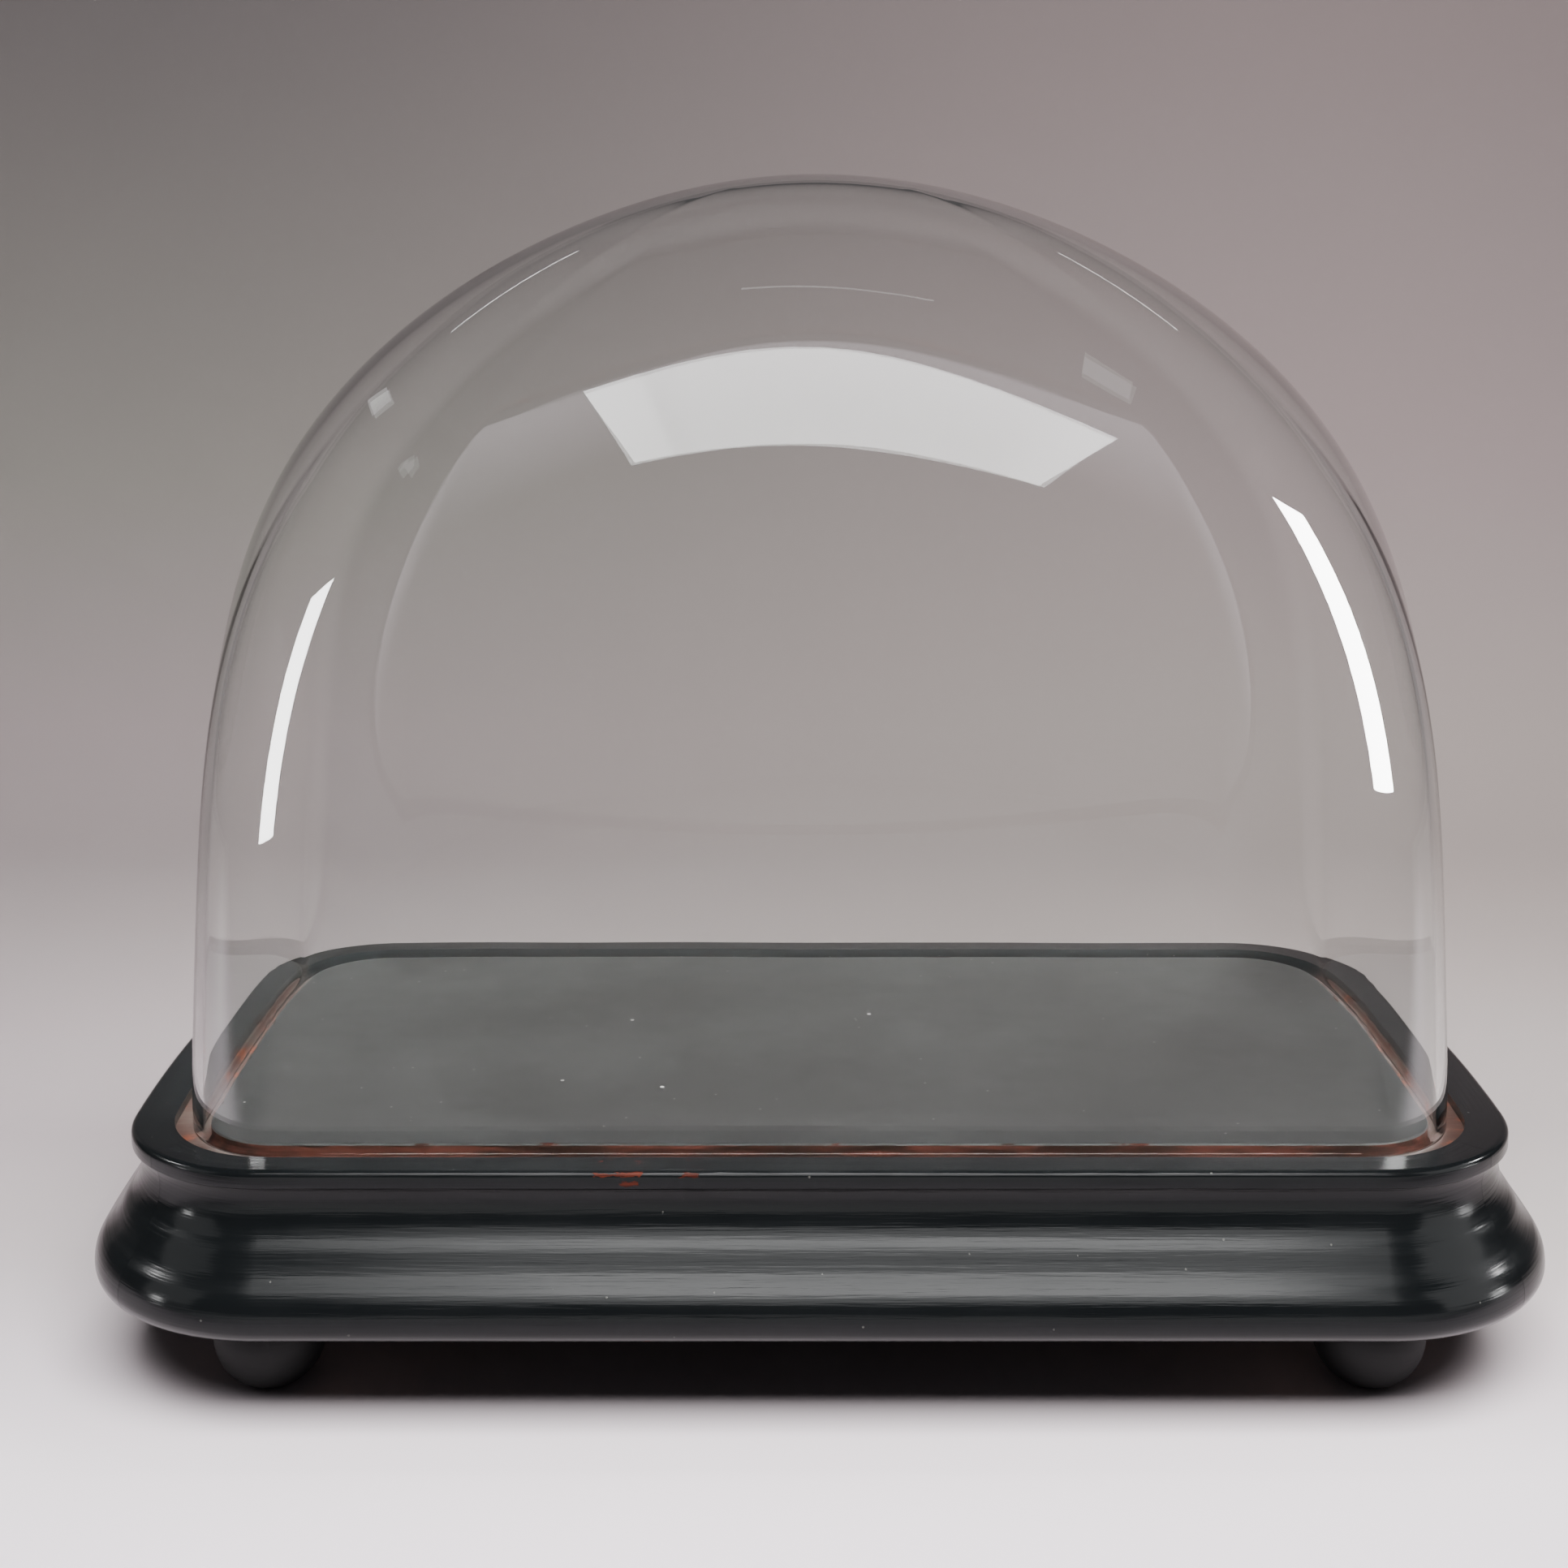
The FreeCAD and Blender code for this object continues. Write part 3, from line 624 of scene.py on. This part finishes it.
def glass_lip(outer_foot, inner_foot):
    """The rings round the half-round lip that joins the two skins at the foot."""
    rings = []
    for turn in np.linspace(0, math.pi, LIP_STEPS + 1)[1:-1]:
        across = (1 - math.cos(turn)) / 2
        ring = outer_foot * (1 - across) + inner_foot * across
        ring[:, 2] = DOME_LOW[2] + LIP_RADIUS * (1 - math.sin(turn))
        rings.append(ring)
    return rings


def make_glass_dome():
    """The blown glass: an outer and an inner skin joined by a rounded lip at the foot."""
    height = DOME_HIGH[2] - DOME_LOW[2]
    shares = [math.sin(RIGHT_ANGLE * row / GLASS_ROWS) for row in range(GLASS_ROWS)]
    form = np.array([dome_ring(GLASS_INSET, height, share) for share in shares])
    normals = skin_normals(form)
    normals[0, :, 2] = 0
    outer = ripple(form, normals, OUTER_SEED)
    inner = ripple(form - normals * GLASS_WALL, normals, INNER_SEED)
    lip = glass_lip(outer[0], inner[0])
    for skin in (outer, inner):
        skin[0, :, 2] += LIP_RADIUS
    rows = [*reversed(outer), *lip, *inner]
    faces = grid_faces(len(rows), GLASS_POINTS, wrap=True)
    crown = len(rows) * GLASS_POINTS
    last = crown - GLASS_POINTS
    for index in range(GLASS_POINTS):
        after = (index + 1) % GLASS_POINTS
        faces.append((crown, after, index))
        faces.append((crown + 1, last + index, last + after))
    top = DOME_LOW[2] + height
    vertices = np.vstack([*rows, [0, 0, top], [0, 0, top - GLASS_WALL]])
    piece = new_piece("blown_glass_dome", vertices, faces)
    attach(piece, DOME_BODY)
    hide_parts("glass_dome")
    return piece


# ------------------------------------------------------------------- materials

class Shader:
    """A material's node tree, with short ways to add and join its nodes."""

    def __init__(self, name):
        self.material = bpy.data.materials.new(name)
        self.material.use_nodes = True
        self.tree = self.material.node_tree
        self.surface = self.tree.nodes["Principled BSDF"]
        self.output = self.tree.nodes["Material Output"]

    def put(self, socket, value):
        """Join a socket to another, or set it to a value: for a colour, three numbers."""
        if isinstance(value, bpy.types.NodeSocket):
            self.tree.links.new(value, socket)
        elif socket.type == "RGBA":
            socket.default_value = (*value, 1.0)
        else:
            socket.default_value = value

    def add(self, kind, inputs, **settings):
        """Add a node; inputs maps a socket's name or number to a value or another socket."""
        node = self.tree.nodes.new(f"ShaderNode{kind}")
        for key, value in settings.items():
            setattr(node, key, value)
        for key, value in inputs.items():
            self.put(node.inputs[key], value)
        return node

    def set(self, **values):
        """Set the main shader's sockets; an underscore in a name stands for a space."""
        for key, value in values.items():
            self.put(self.surface.inputs[key.replace("_", " ")], value)

    def place(self, source, cells):
        """Object or UV coordinates, with this many cells to a metre along each axis."""
        coordinates = self.add("TexCoord", {}).outputs[source]
        return self.add("Mapping", {"Vector": coordinates, "Scale": cells}).outputs["Vector"]

    def axes(self, source="Object"):
        """Object or UV X, Y and Z in metres."""
        return self.add("SeparateXYZ", {0: self.place(source, (1, 1, 1))}).outputs

    def noise(self, source, cells, detail, roughness=0.55):
        """Plain noise over Object or UV coordinates."""
        return self.add("TexNoise", {"Vector": self.place(source, cells), "Scale": 1.0,
                                     "Detail": detail, "Roughness": roughness}).outputs["Fac"]

    def specks(self, cells, radius, share):
        """1 inside round specks, whose radius is in cells; share is how many cells have one."""
        place = self.place("Object", cells)
        pattern = self.add("TexVoronoi", {"Vector": place, "Scale": 1.0})
        chosen = self.add("SeparateColor", {0: pattern.outputs["Color"]}).outputs[0]
        inside = self.math("LESS_THAN", pattern.outputs["Distance"], radius)
        return self.math("MULTIPLY", inside, self.math("LESS_THAN", chosen, share))

    def step(self, value, low, high, to_low=0.0, to_high=1.0):
        """Value from low to high carried smoothly to to_low and to_high."""
        return self.add("MapRange", {"Value": value, "From Min": low, "From Max": high,
                                     "To Min": to_low, "To Max": to_high},
                        interpolation_type="SMOOTHSTEP").outputs["Result"]

    def between(self, value, low, high, soft):
        """1 where value lies between low and high, fading over soft to each side of both."""
        return self.math("MULTIPLY", self.step(value, low - soft, low + soft),
                         self.step(value, high - soft, high + soft, 1.0, 0.0))

    def math(self, operation, first, second=0.0):
        """One sum on two values or sockets."""
        return self.add("Math", {0: first, 1: second}, operation=operation).outputs[0]

    def mix(self, share, first, second):
        """Colours mixed by share."""
        return self.add("Mix", {0: share, 6: first, 7: second}, data_type="RGBA").outputs[2]

    def ramp(self, value, stops):
        """A colour for each value, from stops of (value, red, green, blue)."""
        low, high = stops[0][0], stops[-1][0]
        share = self.add("MapRange", {"Value": value, "From Min": low, "From Max": high})
        node = self.add("ValToRGB", {"Fac": share.outputs["Result"]})
        elements = node.color_ramp.elements
        while len(elements) < len(stops):
            elements.new(0.5)
        for element, (at, *tone) in zip(elements, stops):
            element.position = (at - low) / (high - low)
            element.color = (*tone, 1.0)
        return node.outputs["Color"]

    def bump(self, height, depth, below=None):
        """Raise the surface by height, from 0 to 1, times a depth in metres.

        Below is the normal of another bump, when this one lies over it.
        """
        node = self.add("Bump", {"Height": height, "Distance": depth, "Strength": 1.0})
        if below is not None:
            self.put(node.inputs["Normal"], below)
        return node.outputs["Normal"]


def chips(shader):
    """1 on the few places along the front where the black is knocked off the wood."""
    axes = shader.axes()
    jagged = shader.noise(*CHIP_EDGES)
    ragged = shader.math("MULTIPLY", shader.math("SUBTRACT", jagged, 0.5), CHIP_RAGGEDNESS)
    x = shader.math("ADD", axes["X"], ragged)
    z = shader.math("ADD", axes["Z"], shader.math("MULTIPLY", ragged, CHIP_RISE))
    bare = 0.0
    for left, right, low, high in CHIPS:
        spot = shader.math("MULTIPLY", shader.between(x, left, right, CHIP_SOFTNESS),
                           shader.between(z, low, high, CHIP_SOFTNESS))
        bare = shader.math("MAXIMUM", bare, spot)
    return shader.math("MULTIPLY", bare, shader.math("LESS_THAN", axes["Y"], 0.0))


def ebonised_moulding():
    """Black stain and polish brushed along the grain: satin, streaky, worn in small chips."""
    shader = Shader("ebonised_moulding")
    streaks = shader.noise(*MOULDING_STREAKS)
    bands = shader.noise(*MOULDING_BANDS)
    patches = shader.noise(*MOULDING_PATCHES)
    dust = shader.specks(*MOULDING_DUST)
    tone = shader.mix(shader.math("MULTIPLY", dust, MOULDING_DUST_SHARE),
                      shader.mix(patches, *MOULDING_BLACK), MOULDING_DUST_TONE)
    bare = chips(shader)
    wood = shader.mix(shader.step(streaks, *CHIP_GRAIN_SPAN), *CHIP_WOOD)
    gloss = shader.math("ADD", shader.step(bands, *NOISE_SPAN, *MOULDING_ROUGHNESS),
                        shader.step(patches, *NOISE_SPAN, *PATCH_ROUGHNESS))
    brushed = shader.bump(bands, BAND_DEPTH, below=shader.bump(streaks, STREAK_DEPTH))
    shader.set(Base_Color=shader.mix(bare, tone, wood), Roughness=gloss, Normal=brushed,
               Specular_IOR_Level=shader.step(bare, 0.0, 1.0, *MOULDING_SPECULAR))
    return shader.material


def ebonised_platform():
    """Black paint on the display board, with dust and lint on it and a bare worn edge."""
    shader = Shader("ebonised_platform")
    patches = shader.noise(*BOARD_PATCHES)
    dust = shader.specks(*BOARD_DUST)
    lint = shader.specks(*BOARD_LINT)
    pale = shader.math("MAXIMUM", shader.math("MULTIPLY", dust, BOARD_DUST_SHARE), lint)
    tone = shader.mix(pale, shader.mix(patches, *BOARD_BLACK), BOARD_DUST_TONE)
    worn = shader.noise(*BOARD_WEAR)
    reach = shader.step(worn, *WEAR_SPAN, 0.0, PLATFORM_WEAR)
    inward = shader.axes("UV")["Y"]
    side = shader.math("LESS_THAN", shader.axes()["Z"], PLATFORM_HIGH[2] - PLATFORM_EDGE)
    bare = shader.math("MAXIMUM", shader.math("LESS_THAN", inward, reach), side)
    grain = shader.noise(*BOARD_GRAIN)
    wood = shader.mix(shader.step(grain, *BOARD_GRAIN_SPAN), *BOARD_WOOD)
    shader.set(Base_Color=shader.mix(bare, tone, wood),
               Roughness=shader.step(patches, *NOISE_SPAN, *BOARD_ROUGHNESS),
               Specular_IOR_Level=shader.step(bare, 0.0, 1.0, *BOARD_SPECULAR))
    return shader.material


def bare_wood():
    """Bare red-brown wood, dusty and stained in the groove, and painted dark underneath as shade
    under the base.
    """
    shader = Shader("bare_wood")
    grain = shader.noise(*GROOVE_GRAIN)
    patches = shader.noise(*GROOVE_PATCHES)
    stained = shader.step(patches, *STAIN_SPAN)
    red = shader.step(patches, *RED_SPAN, 1.0, 0.0)
    tone = shader.mix(stained, shader.mix(grain, *GROOVE_WOOD), GROOVE_STAIN)
    tone = shader.mix(red, tone, GROOVE_RED)
    # Painted shade: darker under the base.
    tone = shader.mix(shader.step(shader.axes()["Z"], *PAINTED_SHADE_BELOW), UNDERSIDE_PAINTED_SHADE, tone)
    shader.set(Base_Color=tone, Roughness=GROOVE_ROUGHNESS,
               Normal=shader.bump(grain, GRAIN_DEPTH), Specular_IOR_Level=GROOVE_SPECULAR)
    return shader.material


def ebonised_foot():
    """Matte black turned wood."""
    shader = Shader("ebonised_foot")
    rings = shader.noise(*FOOT_RINGS)
    shader.set(Base_Color=shader.mix(rings, *FOOT_BLACK), Roughness=FOOT_ROUGHNESS,
               Normal=shader.bump(rings, TURNING_DEPTH), Specular_IOR_Level=FOOT_SPECULAR)
    return shader.material


def softwood_block():
    """Sawn pine."""
    shader = Shader("softwood_block")
    grain = shader.noise(*PINE_GRAIN)
    shader.set(Base_Color=shader.mix(grain, *PINE), Roughness=PINE_ROUGHNESS,
               Normal=shader.bump(grain, GRAIN_DEPTH))
    return shader.material


def screw_steel():
    """Dull old screws."""
    shader = Shader("screw_steel")
    patches = shader.noise(*STEEL_PATCHES)
    shader.set(Base_Color=shader.mix(patches, *STEEL), Metallic=1.0,
               Roughness=shader.step(patches, *NOISE_SPAN, *STEEL_ROUGHNESS))
    return shader.material


def clear_glass():
    """Clear blown glass that lets lamp light straight through to what it covers."""
    shader = Shader("clear_glass")
    shader.set(Base_Color=GLASS_TINT, Roughness=0.0, IOR=GLASS_INDEX, Transmission_Weight=1.0)
    through = shader.add("BsdfTransparent", {"Color": GLASS_SHADE})
    rays = shader.add("LightPath", {}).outputs["Is Shadow Ray"]
    blend = shader.add("MixShader", {0: rays, 1: shader.surface.outputs[0],
                                     2: through.outputs[0]})
    shader.put(shader.output.inputs["Surface"], blend.outputs[0])
    return shader.material


def paper():
    """Pale backdrop paper whose tones are painted light and shade: darker toward the back and up
    the sweep, and to the left, painted brighter in the margins and painted darker at the
    tongue's edges.
    """
    shader = Shader("paper")
    axes = shader.axes()
    back = shader.math("ADD", axes["Y"], axes["Z"])
    across = shader.math("ABSOLUTE", axes["X"])
    # Painted light and shade: the paper's tone falls off toward the back and to the left.
    tone = shader.mix(shader.step(axes["X"], *PAPER_BLEND),
                      shader.ramp(back, PAPER_PAINTED_LIGHT_LEFT), shader.ramp(back, PAPER_PAINTED_LIGHT_RIGHT))
    # Painted light: the margins beyond the camera's view are brighter.
    margin = shader.step(across, MARGIN_START, BACKDROP_HALF)
    tone = shader.mix(margin, tone, MARGIN_PAINTED_LIGHT)
    # Painted shade: the tongue darkens toward its edges in front of the object.
    tongue = shader.math("SUBTRACT", 1.0, shader.step(axes["Y"], *TONGUE_SHADE_END))
    edge = shader.step(across, TONGUE_SHADE_START, TONGUE_HALF)
    tone = shader.mix(shader.math("MULTIPLY", edge, tongue), tone, TONGUE_PAINTED_SHADE)
    shader.set(Base_Color=tone, Roughness=PAPER_ROUGHNESS, Specular_IOR_Level=PAPER_SPECULAR)
    return shader.material


def glowing(name, radiance, folds):
    """A surface that only gives light; folds are (X, share of its radiance there)."""
    shader = Shader(name)
    # Halved, and the strength doubled, because a colour goes no higher than 1.
    stops = [(x, *[share / 2] * 3) for x, share in folds]
    tone = shader.ramp(shader.axes()["X"], stops)
    shader.set(Base_Color=BLACK, Emission_Color=tone, Emission_Strength=2 * radiance)
    return shader.material


def paint(piece, material):
    """Give a piece one material all over."""
    if not piece.material_slots:
        piece.data.materials.append(material)
    for slot in piece.material_slots:
        slot.material = material


# ------------------------------------------------------------------- the stage

def add_camera():
    """The camera, close in front of the base."""
    data = bpy.data.cameras.new("camera")
    data.lens = CAMERA_LENS
    data.shift_y = CAMERA_SHIFT_UP
    data.clip_start = CAMERA_NEAREST
    camera = bpy.data.objects.new("camera", data)
    camera.location = CAMERA_PLACE
    camera.rotation_euler = (RIGHT_ANGLE + CAMERA_PITCH, 0, 0)
    bpy.context.scene.collection.objects.link(camera)
    bpy.context.scene.camera = camera


def add_backdrop():
    """A sweep of paper: a tongue in front, flat under the object, curving up behind it."""
    bend, _ = arc_points((SWEEP_START, SWEEP_RADIUS), SWEEP_RADIUS, -RIGHT_ANGLE, 0, SWEEP_STEPS)
    line = [(FLOOR_FRONT, 0, TONGUE_HALF), (TONGUE_START, 0, TONGUE_HALF),
            (TONGUE_START, 0, BACKDROP_HALF), *((y, z, BACKDROP_HALF) for y, z in bend),
            (SWEEP_START + SWEEP_RADIUS, BACKDROP_HEIGHT, BACKDROP_HALF)]
    vertices = [(side * half, y, z) for y, z, half in line for side in (-1, 1)]
    backdrop = new_piece("paper_sweep", vertices, grid_faces(len(line), 2))
    paint(backdrop, paper())


def add_room():
    """Faint even light from all round."""
    world = bpy.data.worlds.new("room")
    world.use_nodes = True
    background = world.node_tree.nodes["Background"]
    background.inputs["Color"].default_value = (*ROOM_TINT, 1.0)
    background.inputs["Strength"].default_value = ROOM_LIGHT
    bpy.context.scene.world = world


def light_only(source, receivers):
    """Let a lamp or a glowing panel reach these pieces and no others."""
    group = bpy.data.collections.new(f"{source.name}_receivers")
    for piece in receivers:
        group.objects.link(piece)
    source.light_linking.receiver_collection = group


def add_lamp(name, place, target, size, radiance, turn=0.0):
    """A rectangular lamp at place, facing target, turned about its own axis."""
    width, height = size
    data = bpy.data.lights.new(name, "AREA")
    data.shape = "RECTANGLE"
    data.size = width
    data.size_y = height
    data.energy = radiance * math.pi * width * height
    lamp = bpy.data.objects.new(name, data)
    lamp.location = place
    facing = (Vector(target) - Vector(place)).to_track_quat("-Z", "Y")
    lamp.rotation_euler = (facing @ Quaternion((0, 0, 1), turn)).to_euler()
    lamp.visible_transmission = False
    bpy.context.scene.collection.objects.link(lamp)
    return lamp


def add_key_lamp():
    """The lamp that lights the scene, without showing in the glass or the polish."""
    lamp = add_lamp(**KEY_LAMP)
    lamp.visible_glossy = False


def add_reflected_lamps(lamps, receivers):
    """Lamps that only show as reflections in the receivers."""
    for settings in lamps:
        lamp = add_lamp(**settings)
        lamp.visible_diffuse = False
        light_only(lamp, receivers)


def bowed_edge(start, stop, bow):
    """Points from start to stop, bowed toward +Y by bow at the middle."""
    edge = []
    for share in np.linspace(0, 1, BOW_STEPS + 1):
        x, y, z = Vector(start).lerp(Vector(stop), share)
        edge.append((x, y + bow * 4 * share * (1 - share), z))
    return edge


def add_panel(name, radiance, corners, glass, folds):
    """A glowing panel that only shows in the glass and casts no shadow."""
    panel = new_piece(name, corners, [tuple(range(len(corners)))])
    paint(panel, glowing(name, radiance, folds))
    panel.visible_diffuse = False
    panel.visible_shadow = False
    light_only(panel, [glass])


def add_panels(glass):
    """The far windows and the big softbox."""
    for window in WINDOWS:
        add_panel(**window, glass=glass, folds=EVEN)
    edges = [*bowed_edge(**PANEL_NEAR), *bowed_edge(**PANEL_FAR)]
    add_panel("softbox_panel", PANEL_RADIANCE, edges, glass, PANEL_FOLDS)


def make_object():
    """Every piece of the dome and its base with its material; the glass and the rails."""
    rails = make_rails()
    moulding = ebonised_moulding()
    for piece in rails:
        paint(piece, moulding)
    paint(make_platform(), ebonised_platform())
    foot = ebonised_foot()
    block = softwood_block()
    for corner in CORNERS:
        paint(make_foot(corner), foot)
        paint(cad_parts[f"block_{corner}"], block)
    paint(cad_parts["baseboard"], bare_wood())
    paint(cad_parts["block_screws"], screw_steel())
    glass = make_glass_dome()
    paint(glass, clear_glass())
    return glass, rails


def main():
    """The object on its stage."""
    add_camera()
    add_backdrop()
    glass, rails = make_object()
    add_room()
    add_key_lamp()
    add_reflected_lamps(GLASS_LAMPS, [glass])
    add_reflected_lamps(MOULDING_LAMPS, rails)
    add_panels(glass)


main()
